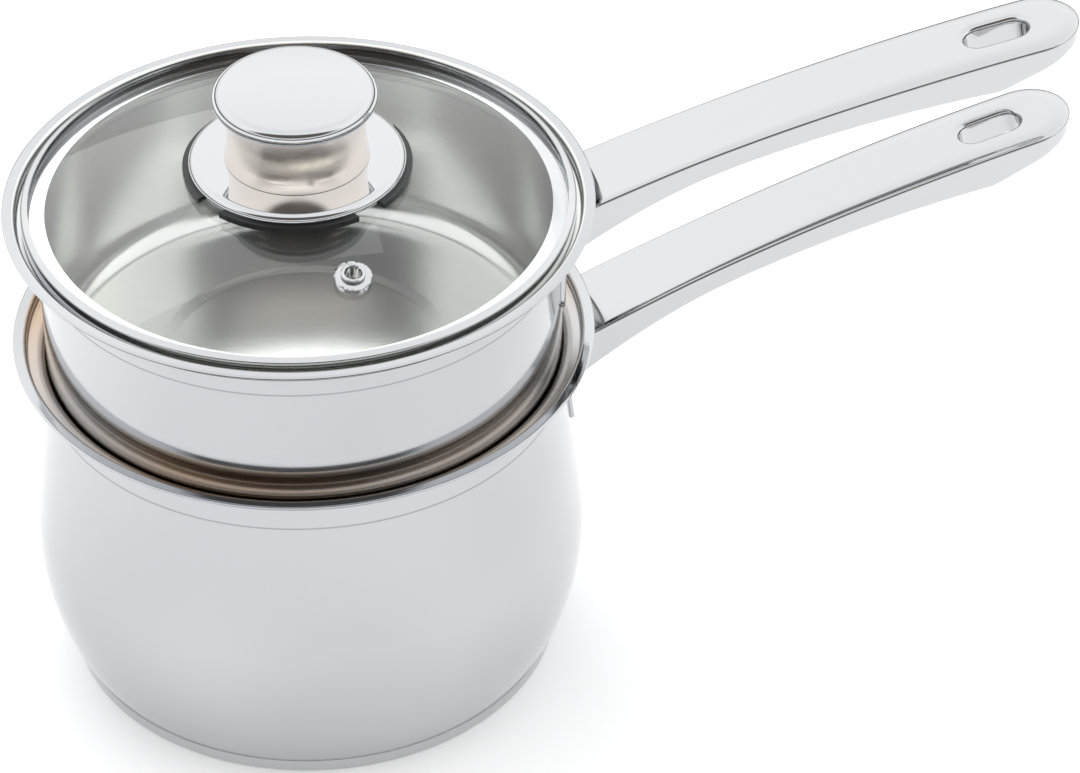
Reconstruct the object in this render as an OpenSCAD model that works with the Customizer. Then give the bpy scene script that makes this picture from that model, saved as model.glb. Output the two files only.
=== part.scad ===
// Double boiler: a belly saucepan with a second pan that seats in its mouth,
// a glass lid and two hollow handles. Origin under the base, +Z up, and the
// lower handle points along +X. All sizes are in millimetres.

/* [Pressed rims] */
// Outer radius of both pans' walls at the rim
wall_r = 80; // [70:0.5:90]
// Thickness of the pressed sheet
sheet_t = 0.7; // [0.5:0.05:1]
// How far the pouring rim reaches out past the wall
rim_reach = 10; // [9.5:0.25:13]
// Width of the flat pouring lip
lip_w = 4.1; // [3.5:0.1:5.5]
// Depth of the recess that the lid sits in
recess_h = 3.6; // [3:0.1:4.5]
// Radius of the flare between the wall and the recess
flare_r = 4; // [3:0.25:4.5]

/* [Lower pan] */
// Height of the lower pan's rim above the worktop
pan_h = 116; // [105:1:130]
// Largest radius of the belly
belly_r = 86.8; // [84:0.2:92]
// Height of the belly's widest ring
belly_z = 41; // [36:1:48]
// Radius of the curve below the belly
belly_curve_r = 78; // [70:1:90]
// Radius of the curve that eases the belly into the neck
shoulder_curve_r = 100; // [80:5:140]
// Height of the capsule base's seam
seam_z = 4.6; // [3.8:0.1:6]
// Thickness of the capsule's steel cup
cap_t = 0.5; // [0.4:0.1:0.8]
// Radius of the curve between the belly and the flat floor
foot_r = 3.5; // [3:0.5:4.5]

/* [Upper pan] */
// Height of the upper pan from its underside to its rim
insert_h = 60.4; // [50:0.5:95]
// Outer radius of its bottom corner
insert_corner_r = 9.5; // [7:0.5:14]
// Radius of the raised disc pressed into its floor
disc_r = 44; // [35:1:55]
// Height of that disc
disc_h = 0.8; // [0.5:0.1:1.5]
// How far the upper handle stands round from the lower one
insert_turn = -4; // [-12:1:12]

/* [Handles] */
// Reach of the upper handle from the pans' axis
insert_reach = 243; // [215:1:270]
// Reach of the lower handle from the pans' axis
pan_reach = 249; // [215:1:270]
// Half width of the handle at its root
handle_root_w = 14.8; // [13:0.1:17]
// Half width at the waist
handle_waist_w = 14.1; // [12:0.1:16]
// Half width at the hanging end
handle_end_w = 14.6; // [13:0.1:17]
// Slope of the upper handle where it leaves the pan
insert_slope = 0.391; // [0.3:0.001:0.5]
// Slope of the lower handle, which stands square to a leaning wall
pan_slope = 0.431; // [0.3:0.001:0.5]
// Radius of the long curve that levels it out
handle_curve_r = 710; // [450:10:1000]
// Depth of the upper handle's root below its rim
insert_drop = 8.2; // [8:0.2:11]
// Depth of the lower handle's root below its rim
pan_drop = 12.4; // [11:0.2:14]
// Depth of the side wall at the root
root_depth = 14.6; // [12:0.2:16]
// Depth of the side wall at the waist
waist_depth = 7.5; // [6:0.1:9]
// Depth of the side wall at the hanging end
end_depth = 12.2; // [10:0.2:14]
// Depth of the side wall at the tip
tip_depth = 4.4; // [4:0.1:6]
// Width and height of the handle's rounded upper edge at the root
root_edge = [1.8, 1.4]; // [0.5:0.1:3]
// The same at the hanging end, where the edge rolls off further in
end_edge = [6, 2]; // [1:0.1:7]
// Thickness of the handle's sheet
handle_t = 1.2; // [0.8:0.1:1.6]
// Length of the rounded nose
nose_l = 15; // [12:1:18]
// Length of the hanging hole
hole_l = 20; // [16:1:24]
// Width of the hanging hole
hole_w = 10; // [8:0.5:13]
// Radius of the hole's rolled edge
hole_roll_r = 2; // [1.2:0.1:2.6]
// Distance from the middle of the hole to the tip
hole_from_tip = 26; // [21:0.5:28]

/* [Handle brackets] */
// Half width of the welded bracket plate
bracket_w = 25; // [21:0.5:30]
// Height of the bracket plate
bracket_h = 27.7; // [24:0.1:32]
// Depth of the plate's top edge below the rim
bracket_drop = 9.3; // [8.5:0.1:12]
// Thickness of the bracket
bracket_t = 1; // [0.8:0.1:1.5]
// Width of the bracket's tongue
tongue_w = 18; // [12:1:22]
// How far the tongue reaches into the handle
tongue_l = 40; // [25:1:55]

/* [Lid] */
// Radius of the glass dome
dome_r = 268; // [230:2:320]
// Thickness of the glass
glass_t = 3.2; // [2.6:0.1:3.6]
// Gap between the lid's band and the step of the rim
lid_play = 1.7; // [0.6:0.1:2.2]
// Thickness of the band's sheet
band_t = 0.5; // [0.3:0.05:0.7]
// Width of the band on top of the glass
band_w = 2.2; // [1.6:0.1:4]
// Width of the band under the glass
band_low_w = 7.6; // [4:0.1:9]
// Distance of the steam vent from the middle of the lid
vent_at = 54.9; // [48:0.5:64]
// Bearing of the vent on the lid
vent_turn = -86; // [-180:1:180]
// Radius of the vent's bore
vent_bore_r = 2.3; // [1.5:0.1:2.6]
// Outer radius of the eyelet's barrel
vent_barrel_r = 3; // [2.8:0.1:3.3]
// Outer radius of the eyelet's curl
vent_curl_r = 3.7; // [3.5:0.1:4.2]
// Outer radius of the vent's washer
vent_washer_r = 5.7; // [5:0.1:7]

/* [Knob] */
// Radius of the knob's cap
cap_r = 24.7; // [21:0.1:28]
// Radius of the cap's rolled edge
cap_roll_r = 3.1; // [2.5:0.1:4]
// Height of the cap's crown above its roll
cap_crown_h = 1.0; // [0.5:0.1:2.5]
// Height of the neck
neck_h = 17.6; // [14:0.1:24]
// Radius of the neck at its ends
neck_r = 22; // [19:0.1:23]
// Radius of the neck at its waist
neck_waist_r = 20.9; // [17:0.1:22]
// Radius of the knob's base plate
plate_r = 33.1; // [29:0.1:36]
// Height of the black spacer over the crown of the glass
spacer_h = 1.6; // [1.2:0.1:3]
// Depth of the base plate's skirt
skirt_h = 2.8; // [2.4:0.1:3.2]
// Thickness of the knob's sheet
knob_t = 0.8; // [0.6:0.1:1.1]
// Radius of the black spacer
spacer_r = 34.7; // [33.8:0.1:37]
// Angle of each gap in the spacer
spacer_gap_a = 16; // [8:1:24]
// Bearing of the spacer's first gap
spacer_turn = 26.75; // [0:0.25:90]
// Radius of the fixing screw
screw_r = 3; // [2:0.1:3.5]
// Radius of the fixing screw's head
screw_head_r = 6; // [4.5:0.1:8]
// Height of the fixing screw's head
screw_head_h = 3.2; // [2:0.1:4]

/* [Fits] */
// Gap between pieces that seat on each other
seat_gap = 0.3; // [0.2:0.05:0.5]
// Gap between pieces that are welded or clamped together
weld_gap = 0.06; // [0.04:0.02:0.2]

/* [Hidden] */
$fn = 96;
steel = "#cfd0d2";
bright_steel = "#dedfe1";
half_t = sheet_t / 2;
wall_mid = wall_r - half_t;
rim_r = wall_r + rim_reach;
// Small bends in the rim: the recess's corner, the lip's corner and the turned edge
bend_r = 1;
edge_r = 1.4;
edge_a = 35;
step_mid = rim_r - lip_w + half_t;
flare_x = wall_mid + flare_r;
flare_drop = recess_h + half_t + flare_r;
// The upper pan's round corner seats on the lower pan's flare: the line between
// the two centres is as long as both radii and the gap.
seat_run = flare_x - wall_r + insert_corner_r;
seat_len = flare_r + half_t + insert_corner_r + seat_gap;
seat_rise = sqrt(seat_len * seat_len - seat_run * seat_run);
insert_bottom_z = pan_h - flare_drop + seat_rise - insert_corner_r;
insert_z = insert_bottom_z + insert_h;
// Steps along each kind of curve
bend_n = 4;
curve_n = 10;

// Points of an arc from angle a0 to a1 about (cx, cz)
function arc(cx, cz, r, a0, a1, n) =
    [for (i = [0:n]) let (a = a0 + (a1 - a0) * i / n) [cx + r * cos(a), cz + r * sin(a)]];
// A path without the points where two arcs meet twice
function distinct(p) = [for (i = [0:len(p) - 1]) if (i == 0 || norm(p[i] - p[i - 1]) > 0.001) p[i]];
// A path moved sideways by d, to its right as it runs. It is level on the axis.
function shifted(p, d) = let (last = len(p) - 1) [for (i = [0:last])
    let (t = p[i][0] == 0 ? [1, 0] : p[min(i + 1, last)] - p[max(i - 1, 0)])
    p[i] + d * [t[1], -t[0]] / norm(t)];
function reversed(p) = [for (i = [len(p) - 1:-1:0]) p[i]];
// The closed outline of a sheet of thickness t along a path
function sheet(path, t) = let (p = distinct(path))
    concat(shifted(p, t / 2), reversed(shifted(p, -t / 2)));
// The shared rim, from the top of a wall to its turned edge, for a rim plane at z
function rim_path(z) = let (
        lip_z = z - half_t,
        ledge_z = z - recess_h - half_t,
        edge_x = rim_r - (edge_r + half_t) * sin(edge_a)) concat(
    arc(flare_x, z - flare_drop, flare_r, 180, 90, 2 * bend_n),
    arc(step_mid - bend_r, ledge_z + bend_r, bend_r, -90, 0, bend_n),
    arc(step_mid + bend_r, lip_z - bend_r, bend_r, 180, 90, bend_n),
    arc(edge_x, lip_z - edge_r, edge_r, 90, 90 - edge_a, bend_n));

// Lower pan: a straight neck runs down to the belly's curves and a flat floor
neck_z = pan_h - flare_drop;
// Angle at which the belly's lower curve meets the capsule's seam
foot_a = asin((belly_z - seam_z) / belly_curve_r);
seam_r = belly_r - belly_curve_r * (1 - cos(foot_a));
foot_x = seam_r - foot_r * cos(foot_a);
foot_z = seam_z + foot_r * sin(foot_a);
pan_floor_z = foot_z - foot_r;
// The shoulder curves in to the neck, or out to it where the belly is the narrower
shoulder_side = belly_r < wall_r ? -1 : 1;
shoulder_cx = belly_r - shoulder_side * shoulder_curve_r;
shoulder_mid_r = shoulder_curve_r - shoulder_side * half_t;
// Slope angle of the straight neck, tangent to the shoulder's curve
slope_a = let (d = [shoulder_side * (wall_r - shoulder_cx), neck_z - belly_z])
    atan2(d[1], d[0]) - acos(shoulder_curve_r / norm(d));
pan_path = concat(
    [[0, pan_floor_z + half_t]],
    arc(foot_x, foot_z, foot_r - half_t, -90, -foot_a, curve_n),
    arc(belly_r - belly_curve_r, belly_z, belly_curve_r - half_t, -foot_a, 0, curve_n),
    [for (q = arc(0, belly_z, shoulder_mid_r, 0, slope_a, bend_n))
        [shoulder_cx + shoulder_side * q[0], q[1]]],
    rim_path(pan_h));

// Upper pan: straight wall, round corner and a floor with a raised disc
insert_path = let (zf = insert_bottom_z + half_t, r = insert_corner_r - half_t,
        ramp = 3 * disc_h) concat(
    [[0, zf + disc_h], [disc_r - ramp, zf + disc_h], [disc_r, zf + disc_h / 2],
        [disc_r + ramp, zf]],
    arc(wall_r - insert_corner_r, insert_bottom_z + insert_corner_r, r, -90, 0, curve_n),
    rim_path(insert_z));

module revolve(points) { rotate_extrude() polygon(distinct(points)); }
module pressed(path, t) { revolve(sheet(path, t)); }

module pan_shell() { color(steel) pressed(pan_path, sheet_t); }
module insert_shell() { color(steel) pressed(insert_path, sheet_t); }

// Capsule base: a steel cup filled with aluminium up to the pan's underside
cup_edge_r = 1.2;
cup_inner_r = seam_r - cap_t;
core_r = cup_inner_r - weld_gap;
// What is under the pan's foot follows its round corner
skin_r = foot_r + weld_gap;
function under_foot(x) = foot_z - sqrt(skin_r * skin_r - pow(x - foot_x, 2));
module pan_base_cap() {
    edge_mid = seam_r - cup_edge_r;
    color(bright_steel) revolve(concat([[0, 0]],
        arc(edge_mid, cup_edge_r, cup_edge_r, -90, 0, bend_n),
        [[seam_r, under_foot(seam_r)], [cup_inner_r, under_foot(cup_inner_r)]],
        arc(edge_mid, cup_edge_r, cup_edge_r - cap_t, 0, -90, bend_n), [[0, cap_t]]));
}
module pan_base_core() {
    low = cap_t + weld_gap;
    edge_mid = core_r - cup_edge_r;
    rise_a = acos((core_r - foot_x) / skin_r);
    color("#b9bcc0") revolve(concat([[0, low]],
        arc(edge_mid, low + cup_edge_r, cup_edge_r, -90, 0, bend_n),
        arc(foot_x, foot_z, skin_r, -rise_a, -90, curve_n), [[0, foot_z - skin_r]]));
}

// Handles and brackets are drawn along X with z measured down from the rim plane.
// lean is how much the wall's radius grows for each millimetre below the neck,
// and drop is how far the handle's root starts below the rim.
pan_lean = shoulder_side * tan(slope_a);
function wall_at(d, lean) = wall_r + (d - flare_drop) * lean;
// Distance from the axis to a handle's root, just outside its bracket's plate
function root_at(lean, drop) = wall_at(drop + root_depth, lean) + bracket_t + 2 * weld_gap;
// A handle: the wall's lean, the root's drop, its slope there and its reach
pan_grip = [pan_lean, pan_drop, pan_slope, pan_reach];
insert_grip = [0, insert_drop, insert_slope, insert_reach];
function root_x(g) = root_at(g[0], g[1]);
function length_of(g) = g[3] - root_x(g);
// Height and slope of the top's middle line at distance d from the root
function top_z(d, g) = g[2] * d - d * d / (2 * handle_curve_r) - g[1];
function top_a(d, g) = atan(g[2] - d / handle_curve_r);
// A smooth step from a to b as u runs from 0 to 1
function ease(a, b, u) = a + (b - a) * (1 - cos(180 * min(max(u, 0), 1))) / 2;
// Shares of the handle's length where its waist and its deepest side wall lie. The side
// is drawn in behind the root, deepens slowly along the grip and is cut off to the tip.
waist_u = 0.3;
deep_u = 0.83;
grow = 1.8;
function side_depth(u) = u < waist_u
        ? waist_depth + (root_depth - waist_depth) * pow(1 - max(u, 0) / waist_u, 2)
    : u < deep_u ? waist_depth + (end_depth - waist_depth) * pow((u - waist_u) / (deep_u - waist_u), grow)
    : end_depth + (tip_depth - end_depth) * (u - deep_u) / (1 - deep_u);
function half_width(u) = u < waist_u ? ease(handle_root_w, handle_waist_w, u / waist_u)
    : ease(handle_waist_w, handle_end_w, (u - waist_u) / (deep_u - waist_u));
function edge_at(u) = let (k = ease(0, 1, (u - 0.1) / 0.7)) root_edge + (end_edge - root_edge) * k;
// Places of the cross-sections: evenly along the grip, then closing in round the nose.
// Each is a distance from the root and a share of the full width.
grip_n = 24;
nose_n = 8;
nose_a = 86;
edge_n = 5;
function stations(start, l, inset) = concat(
    [for (i = [0:grip_n]) [start + (l - nose_l - start) * i / grip_n, 1]],
    [for (i = [1:nose_n]) let (a = nose_a * i / nose_n)
        [l - nose_l + (nose_l - inset) * sin(a), cos(a)]]);
// Drop of the top at distance d from the tip, where the nose is rounded over
nose_r = 2.6;
function nose_drop(d) = d < nose_r ? nose_r - sqrt(nose_r * nose_r - pow(nose_r - max(d, 0), 2)) : 0;
// A cross-section: an upside-down U of half width w between zb and zt, with its upper
// corners rounded by quarter ellipses e wide and high, up to a share of its width and height
edge_share = [0.9, 0.8];
function section(x, w, zb, zt, e) =
    let (ex = min(e[0], edge_share[0] * w), ez = min(e[1], edge_share[1] * (zt - zb))) concat(
    [[x, -w, zb]],
    [for (i = [0:edge_n]) let (a = 180 - 90 * i / edge_n)
        [x, -w + ex + ex * cos(a), zt - ez + ez * sin(a)]],
    [for (i = [0:edge_n]) let (a = 90 - 90 * i / edge_n)
        [x, w - ex + ex * cos(a), zt - ez + ez * sin(a)]],
    [[x, w, zb]]);
// A closed solid through cross-sections that all have the same number of points
module loft(sections) {
    m = len(sections[0]);
    n = len(sections);
    sides = [for (i = [0:n - 2], j = [0:m - 1]) let (a = i * m + j, b = i * m + (j + 1) % m)
        each [[a, b, a + m], [a + m, b, b + m]]];
    polyhedron(points = [for (s = sections, p = s) p], faces = concat(
        [[for (j = [m - 1:-1:0]) j]], sides, [[for (j = [0:m - 1]) (n - 1) * m + j]]));
}
root_overlap = 4;
// The handle's form drawn in by inset, and run on below its underside by past
function skin(g, inset, past = 0) = let (l = length_of(g)) [for (s = stations(-root_overlap, l, inset))
    let (x = s[0], u = x / l, w = (half_width(u) - inset) * s[1], e = edge_at(u),
        zt = top_z(x, g) - nose_drop(l - inset - x), zb = top_z(x, g) - side_depth(u))
    section(x, w, zb - past, zt - inset,
        [max(e[0] - inset, 0.4), max(e[1] - inset, 0.4)])];
// An oblong hole of length l and width w, widened at its top by a rolled edge of radius r
module slot(l, w, h, r = 0) {
    profile = distinct(concat([[0, -h], [w / 2, -h]], arc(w / 2 + r, -r, r, 180, 90, bend_n),
        [[w / 2 + r, h], [0, h]]));
    for (s = [-1, 1]) translate([s * (l - w) / 2, 0, 0]) revolve(profile);
    for (s = [0, 180]) rotate([90, 0, 90 + s]) linear_extrude(l - w, center = true) polygon(profile);
}
// The hanging hole stands square to the handle's top
module at_hole(g) {
    d = length_of(g) - hole_from_tip;
    translate([d, 0, top_z(d, g)]) rotate([0, -top_a(d, g), 0]) children();
}
// What a handle's root butts against, which is the bracket's plate on the wall
module root_form(g) {
    low = g[1] + 2 * root_depth;
    cover = bracket_t + 2 * weld_gap;
    translate([0, 0, -low]) cylinder(r1 = wall_at(low, g[0]) + cover, r2 = wall_at(0, g[0]) + cover,
        h = low);
}
// The hole's wall runs down to the handle's underside
collar_t = 1.2;
module handle_top(g) {
    collar_l = hole_l + 2 * collar_t;
    collar_w = hole_w + 2 * collar_t;
    color(bright_steel) difference() {
        translate([root_x(g), 0, 0]) difference() {
            union() {
                difference() {
                    loft(skin(g, 0));
                    loft(skin(g, handle_t, root_depth));
                }
                intersection() {
                    loft(skin(g, handle_t / 2));
                    at_hole(g) union() {
                        rim_h = hole_roll_r + handle_t / 2;
                        translate([0, 0, -end_depth]) slot(collar_l, collar_w, end_depth);
                        translate([0, 0, -rim_h]) slot(collar_l + 2 * hole_roll_r,
                            collar_w + 2 * hole_roll_r, rim_h);
                    }
                }
            }
            at_hole(g) slot(hole_l, hole_w, 3 * end_depth, hole_roll_r);
        }
        root_form(g);
    }
}
// The underside is closed by a plate a little way up inside the side walls
plate_lift = 0.3;
closing_t = 0.9;
plate_start = 8;
plate_end = 3.6;
module handle_plate(g) {
    l = length_of(g);
    inset = handle_t + seat_gap;
    collar_side = 2 * (collar_t + seat_gap);
    color(steel) translate([root_x(g), 0, 0]) difference() {
        loft([for (s = stations(plate_start, l - plate_end, inset))
            let (x = s[0], u = x / l, w = (half_width(u) - inset) * s[1],
                zb = top_z(x, g) - side_depth(u) + plate_lift)
            [[x, -w, zb], [x, -w, zb + closing_t], [x, w, zb + closing_t], [x, w, zb]]]);
        at_hole(g) slot(hole_l + collar_side, hole_w + collar_side, 3 * end_depth);
    }
}
// Bracket: a plate welded to the wall, and a tongue that bends up into the handle
plate_corner_r = 5;
tongue_bend_r = 3;
tongue_sunk = 0.7;
tongue_n = 5;
function tongue_z(x, g) = top_z(x, g)
    - (handle_t + side_depth(x / length_of(g)) - plate_lift - closing_t) / 2;
module bracket(g) {
    lean = g[0];
    x0 = root_x(g);
    low = bracket_drop + bracket_h;
    gap = weld_gap + bracket_t / 2;
    foot = low - plate_corner_r;
    leg = gap + bracket_t - tongue_sunk;
    a = 90 + top_a(0, g);
    bend_x = wall_at(g[1] + root_depth, lean) + leg + tongue_bend_r;
    end_x = bend_x + tongue_bend_r * cos(a);
    bend_z = tongue_z(end_x - x0, g) - tongue_bend_r * sin(a);
    color(steel) {
        intersection() {
            pressed([[wall_at(bracket_drop, lean) + gap, -bracket_drop],
                [wall_at(low, lean) + gap, -low]], bracket_t);
            translate([0, 0, -bracket_drop - bracket_h / 2]) rotate([0, 90, 0]) rounded_bar();
        }
        translate([0, tongue_w / 2, 0]) rotate([90, 0, 0]) linear_extrude(tongue_w)
            polygon(sheet(concat([[wall_at(foot, lean) + leg, -foot]],
                arc(bend_x, bend_z, tongue_bend_r, 180, a, bend_n),
                [for (i = [1:tongue_n]) let (x = end_x + (x0 + tongue_l - end_x) * i / tongue_n)
                    [x, tongue_z(x - x0, g)]]), bracket_t));
    }
}
// A bar along Z with rounded edges, bracket_h by twice bracket_w
module rounded_bar() {
    r = plate_corner_r;
    bar_l = rim_r + 2 * bracket_h;
    linear_extrude(bar_l) {
        for (x = [-1, 1], y = [-1, 1])
            translate([x * (bracket_h / 2 - r), y * (bracket_w - r)]) circle(r = r);
        square([bracket_h, 2 * (bracket_w - r)], center = true);
        square([bracket_h - 2 * r, 2 * bracket_w], center = true);
    }
}
module on_pan() { translate([0, 0, pan_h]) children(); }
module on_insert() { translate([0, 0, insert_z]) rotate([0, 0, insert_turn]) children(); }
module pan_handle() { on_pan() handle_top(pan_grip); }
module pan_handle_plate() { on_pan() handle_plate(pan_grip); }
module pan_bracket() { on_pan() bracket(pan_grip); }
module insert_handle() { on_insert() handle_top(insert_grip); }
module insert_handle_plate() { on_insert() handle_plate(insert_grip); }
module insert_bracket() { on_insert() bracket(insert_grip); }

// Gap between the glass and the band that is rolled round it
band_gap = 0.2;
// Lid, drawn with z measured from the upper pan's rim plane
lid_r = rim_r - lip_w - lid_play;
glass_r = lid_r - band_t - band_gap;
glass_low_z = -recess_h + band_t + band_gap;
dome_z = glass_low_z - sqrt(pow(dome_r - glass_t, 2) - pow(glass_r, 2));
crown_z = dome_z + dome_r;
// Heights of the glass's upper and lower faces at distance r from the middle
function dome_at(r) = dome_z + sqrt(dome_r * dome_r - r * r);
function under_dome_at(r) = dome_z + sqrt(pow(dome_r - glass_t, 2) - r * r);
vent_a = asin(vent_at / dome_r);
screw_hole_r = screw_r + 1;
module on_lid() { translate([0, 0, insert_z]) children(); }
module at_vent() {
    on_lid() rotate([0, 0, vent_turn]) translate([0, 0, dome_z]) rotate([0, vent_a, 0])
        translate([0, 0, dome_r]) children();
}
module ring(r_in, r_out, z0, z1) { revolve([[r_in, z0], [r_out, z0], [r_out, z1], [r_in, z1]]); }

// A ball round the dome's centre, fine enough for its flat crown
module dome_ball(r) { translate([0, 0, dome_z]) sphere(r = r, $fn = 400); }

module lid_glass() {
    color([0.80, 0.86, 0.83, 0.35]) difference() {
        on_lid() intersection() {
            dome_ball(dome_r);
            translate([0, 0, glass_low_z]) cylinder(r = glass_r, h = crown_z - glass_low_z + 1);
        }
        on_lid() dome_ball(dome_r - glass_t);
        on_lid() cylinder(r = screw_hole_r, h = 2 * crown_z);
        at_vent() cylinder(r = vent_barrel_r + seat_gap, h = 4 * glass_t, center = true);
    }
}
module lid_band() {
    bend = 0.7;
    half = band_t / 2;
    side = lid_r - half;
    top_lift = band_gap + half;
    top_r = side - bend;
    low = glass_low_z - band_gap - half;
    inner_r = lid_r - band_w;
    low_r = lid_r - band_low_w;
    color(bright_steel) on_lid() pressed(concat(
        [[low_r, low]],
        arc(side - bend, low + bend, bend, -90, 0, bend_n),
        arc(top_r, dome_at(top_r) + top_lift - bend, bend, 0, 75, bend_n),
        [[inner_r, dome_at(inner_r) + top_lift]]), band_t);
}
// The vent's washer is dished: its flat middle stands a little off the glass
vent_flat_r = 4.2;
vent_lift = 0.2;
vent_sheet_t = 0.6;
vent_top = vent_lift + vent_sheet_t;
vent_foot_r = 5;
vent_foot_h = 0.8;
module vent_washer() {
    bore = vent_barrel_r + weld_gap;
    color(bright_steel) at_vent() revolve([[bore, vent_lift], [vent_flat_r, vent_lift],
        [vent_washer_r, weld_gap], [vent_washer_r, vent_sheet_t],
        [vent_flat_r + vent_lift, vent_top], [bore, vent_top]]);
}
module vent_eyelet() {
    curl = (vent_curl_r - vent_bore_r) / 2;
    foot = glass_t + vent_foot_h;
    curl_z = vent_top + weld_gap;
    color(steel) at_vent() revolve(concat([[vent_bore_r, -foot], [vent_foot_r, -foot],
            [vent_foot_r, -glass_t - weld_gap], [vent_barrel_r, -glass_t - weld_gap],
            [vent_barrel_r, curl_z]],
        arc(vent_bore_r + curl, curl_z + curl, curl, -60, 180, 2 * bend_n)));
}

// Knob, on the middle of the lid
spacer_top_z = crown_z + spacer_h;
plate_z = spacer_top_z + weld_gap + knob_t;
skirt_z = plate_z - skirt_h;
cap_z = plate_z + neck_h + cap_roll_r;
shank_hole_r = screw_r + seat_gap;
knob_half = knob_t / 2;
skirt_r = 2;
module knob_cap() {
    roll = cap_roll_r - knob_half;
    flat_r = cap_r - cap_roll_r;
    top = cap_z + cap_roll_r - knob_half;
    color(bright_steel) on_lid() pressed(concat(
        [for (i = [0:curve_n]) let (u = i / curve_n)
            [flat_r * u, top + cap_crown_h * (1 - u * u)]],
        arc(flat_r, cap_z, roll, 90, -95, 2 * bend_n)), knob_t);
}
module knob_neck() {
    z0 = plate_z + 2 * weld_gap;
    h = neck_h - 3 * weld_gap;
    sag = neck_r - neck_waist_r;
    color("#d8cfc6") on_lid() pressed([for (i = [0:curve_n]) let (u = 2 * i / curve_n - 1)
        [neck_waist_r - knob_half + sag * u * u, z0 + h * i / curve_n]], knob_t);
}
module knob_plate() {
    top = plate_z - knob_half;
    side = plate_r - knob_half;
    color(bright_steel) on_lid() pressed(concat([[shank_hole_r, top]],
        arc(side - skirt_r, top - skirt_r, skirt_r, 90, 0, bend_n), [[side, skirt_z]]), knob_t);
}
// Share of the spacer's inner ring where its gaps start
gap_start = 0.9;
module knob_spacer() {
    inner_r = plate_r - knob_t - skirt_r;
    gap_w = 2 * spacer_r * sin(spacer_gap_a / 2);
    color("#26262a") on_lid() difference() {
        union() {
            ring(shank_hole_r, inner_r, 0, spacer_top_z);
            ring(shank_hole_r, spacer_r, 0, skirt_z - weld_gap);
        }
        dome_ball(dome_r + weld_gap);
        for (i = [0:3]) rotate([0, 0, spacer_turn + 90 * i])
            translate([gap_start * inner_r, -gap_w / 2, 0]) cube([spacer_r, gap_w, plate_z]);
    }
}
nut_h = 6;
nut_r = 1.9 * screw_r;
gasket_h = 1;
washer_h = 1;
washer_r = 8;
washer_z = under_dome_at(washer_r) - 2 * weld_gap - gasket_h;
head_z = washer_z - washer_h - weld_gap;
module knob_nut() {
    color(steel) on_lid() translate([0, 0, plate_z + weld_gap]) difference() {
        cylinder(r = nut_r, h = nut_h, $fn = 6);
        translate([0, 0, -1]) cylinder(r = screw_r + weld_gap, h = nut_h + 2);
    }
}
module knob_screw() {
    color(steel) on_lid() union() {
        translate([0, 0, head_z]) cylinder(r = screw_r, h = plate_z + nut_h - head_z);
        translate([0, 0, head_z - screw_head_h]) cylinder(r = screw_head_r, h = screw_head_h);
    }
}
module knob_washer() {
    color(steel) on_lid() ring(shank_hole_r, washer_r, washer_z - washer_h, washer_z);
}
module knob_gasket() {
    color("#3a3a3c") on_lid() ring(shank_hole_r, washer_r, washer_z + weld_gap,
        washer_z + weld_gap + gasket_h);
}

pan_shell();
pan_base_core();
pan_base_cap();
pan_handle();
pan_handle_plate();
pan_bracket();
insert_shell();
insert_handle();
insert_handle_plate();
insert_bracket();
lid_glass();
lid_band();
vent_eyelet();
vent_washer();
knob_cap();
knob_neck();
knob_plate();
knob_spacer();
knob_nut();
knob_screw();
knob_washer();
knob_gasket();
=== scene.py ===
"""Studio view of a double boiler: a belly saucepan, an upper pan that seats in its mouth,
a domed glass lid with a knob, and two hollow handles. Lengths are in metres."""

from math import acos, asin, atan2, cos, degrees, hypot, pi, radians, sin, sqrt

import bpy
from bpy.props import FloatProperty, PointerProperty, StringProperty
from mathutils import Matrix, Vector


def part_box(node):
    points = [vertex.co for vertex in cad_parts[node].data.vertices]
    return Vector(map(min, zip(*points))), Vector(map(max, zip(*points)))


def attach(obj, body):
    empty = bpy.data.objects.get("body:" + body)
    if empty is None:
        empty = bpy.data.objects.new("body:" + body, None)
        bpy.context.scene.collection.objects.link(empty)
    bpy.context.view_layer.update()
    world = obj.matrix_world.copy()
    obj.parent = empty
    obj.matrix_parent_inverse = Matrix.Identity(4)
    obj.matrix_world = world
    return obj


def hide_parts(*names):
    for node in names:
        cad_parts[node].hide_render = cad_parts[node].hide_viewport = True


bl_info = {
    "name": "Double boiler",
    "version": (1, 0, 0),
    "blender": (4, 5, 0),
    "location": "View3D > Sidebar > Cookware",
    "description": "Builds a stainless double boiler with its studio",
    "category": "Object",
}

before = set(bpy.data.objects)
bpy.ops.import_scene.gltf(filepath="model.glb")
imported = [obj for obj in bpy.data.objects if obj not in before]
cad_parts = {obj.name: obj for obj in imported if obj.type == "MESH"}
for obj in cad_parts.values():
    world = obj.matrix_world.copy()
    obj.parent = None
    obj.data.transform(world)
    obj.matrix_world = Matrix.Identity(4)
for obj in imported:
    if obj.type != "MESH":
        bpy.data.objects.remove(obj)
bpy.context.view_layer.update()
MM = 0.001
PAN_STEPS, KNOB_STEPS = 224, 160  # sides of the wide and of the small turned pieces
SMOOTH_ANGLE = radians(35)  # an edge sharper than this stays crisp
MERGE = 0.001 * MM  # closer points of one piece are the same point
SEAM_MERGE = 0.004 * MM  # the same, along the seams between skins
INSIDE_R = 85.8 * MM  # level faces within this radius belong to a pan's inside, not to its lip


def lowest(node):
    """A CAD node's lowest corner."""
    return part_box(node)[0]


def highest(node):
    """A CAD node's highest corner."""
    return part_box(node)[1]


def length(label, default, note):
    """A size that a user may change."""
    return FloatProperty(name=label, description=note, default=default, unit="LENGTH", precision=5)


def colour(label, default, note):
    """An sRGB hex colour that a user may change."""
    return StringProperty(name=label, description=note, default=default)


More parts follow.
